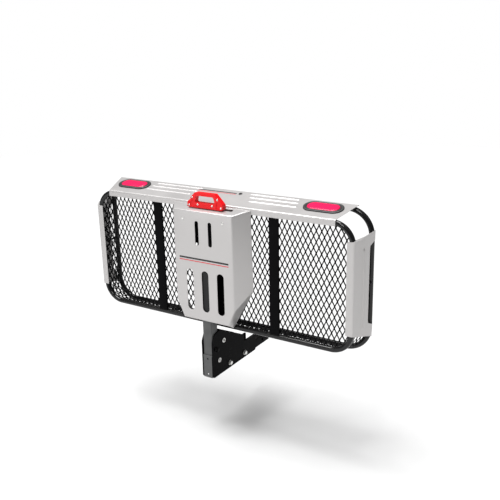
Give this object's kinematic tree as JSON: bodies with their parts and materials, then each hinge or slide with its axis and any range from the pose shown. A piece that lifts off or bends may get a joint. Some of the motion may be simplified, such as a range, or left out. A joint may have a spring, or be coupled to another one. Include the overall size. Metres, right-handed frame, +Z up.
{
  "type": "hitch cargo carrier",
  "caption": "Fold-up hitch cargo basket: black tube and mesh tray on a pivoting post, with silver covers, oval red lamps and a red release handle on top.",
  "frame": {"origin": "middle of the hitch shank's underside, straight below the hitch pin hole", "axes": "+X to the right when looking at the carrier's rear towards the vehicle, +Y towards the vehicle along the shank, +Z up"},
  "size_m": [1.4964, 0.5297, 0.904],
  "materials": {
    "black_powder": "satin black powder coat on steel",
    "expanded_mesh": "black powder coated expanded steel",
    "silver_panel": "light silver-grey painted sheet steel",
    "red_handle": "bright red moulded plastic",
    "red_lens": "transparent red lamp lens",
    "black_rubber": "matte black rubber",
    "black_plastic": "matte black plastic",
    "zinc_fasteners": "bright zinc plate",
    "bright_steel": "plain turned steel",
    "bronze_bush": "sintered bronze"
  },
  "bodies": {
    "hitch_bracket": {"shank": "black_powder", "side_plate_left": "black_powder", "side_plate_right": "black_powder", "rear_web": "black_powder", "index_plate": "bright_steel", "shank_rear_bolt": "zinc_fasteners", "shank_rear_nut": "zinc_fasteners", "shank_front_bolt": "zinc_fasteners", "shank_front_nut": "zinc_fasteners", "pivot_bolt": "black_powder", "pivot_nut": "black_powder"},
    "basket": {"bush_left": "bronze_bush", "bush_right": "bronze_bush", "centre_rail_left": "black_powder", "centre_rail_right": "black_powder", "corner_mesh_left": "expanded_mesh", "corner_mesh_right": "expanded_mesh", "crossbar_left": "black_powder", "crossbar_right": "black_powder", "floor_hoop": "black_powder", "floor_mesh": "expanded_mesh", "harness_grommet": "black_rubber", "lamp_bezel_left": "black_rubber", "lamp_bezel_right": "black_rubber", "lamp_housing_left": "black_plastic", "lamp_housing_right": "black_plastic", "lamp_lens_left": "red_lens", "lamp_lens_right": "red_lens", "lock_lug": "black_powder", "lower_mesh": "expanded_mesh", "lower_strut_left": "black_powder", "lower_strut_right": "black_powder", "pivot_sleeve": "bright_steel", "post": "black_powder", "post_cap": "black_plastic", "return_spring": "bright_steel", "rim_hoop": "black_powder", "saddle_lower": "black_powder", "saddle_upper": "black_powder", "shield": "silver_panel", "shield_rivet_left": "zinc_fasteners", "shield_rivet_right": "zinc_fasteners", "shield_strip": "black_powder", "side_cover_left": "silver_panel", "side_cover_right": "silver_panel", "side_mesh_left": "expanded_mesh", "side_mesh_right": "expanded_mesh", "side_strut_left": "black_powder", "side_strut_right": "black_powder", "top_cover": "silver_panel", "upper_strut_left": "black_powder", "upper_strut_right": "black_powder"},
    "release": {"handle": "red_handle", "handle_screw_inner_left": "zinc_fasteners", "handle_screw_inner_right": "zinc_fasteners", "handle_screw_outer_left": "zinc_fasteners", "handle_screw_outer_right": "zinc_fasteners", "pull_rod": "bright_steel", "rod_collar": "bright_steel", "lock_plunger": "bright_steel"}
  },
  "joints": [
    {"name": "basket_fold", "type": "hinge", "parent": "hitch_bracket", "child": "basket", "pos_m": [0, -0.4316, 0.1414], "axis": [1, 0, 0], "range_deg": [0, 90]},
    {"name": "handle_pull", "type": "slide", "parent": "basket", "child": "release", "axis": [0, 0, 1], "range_m": [0, 0.02], "stiffness_N_per_m": 900, "springref_m": -0.012, "deforming": ["return_spring"]}
  ]
}
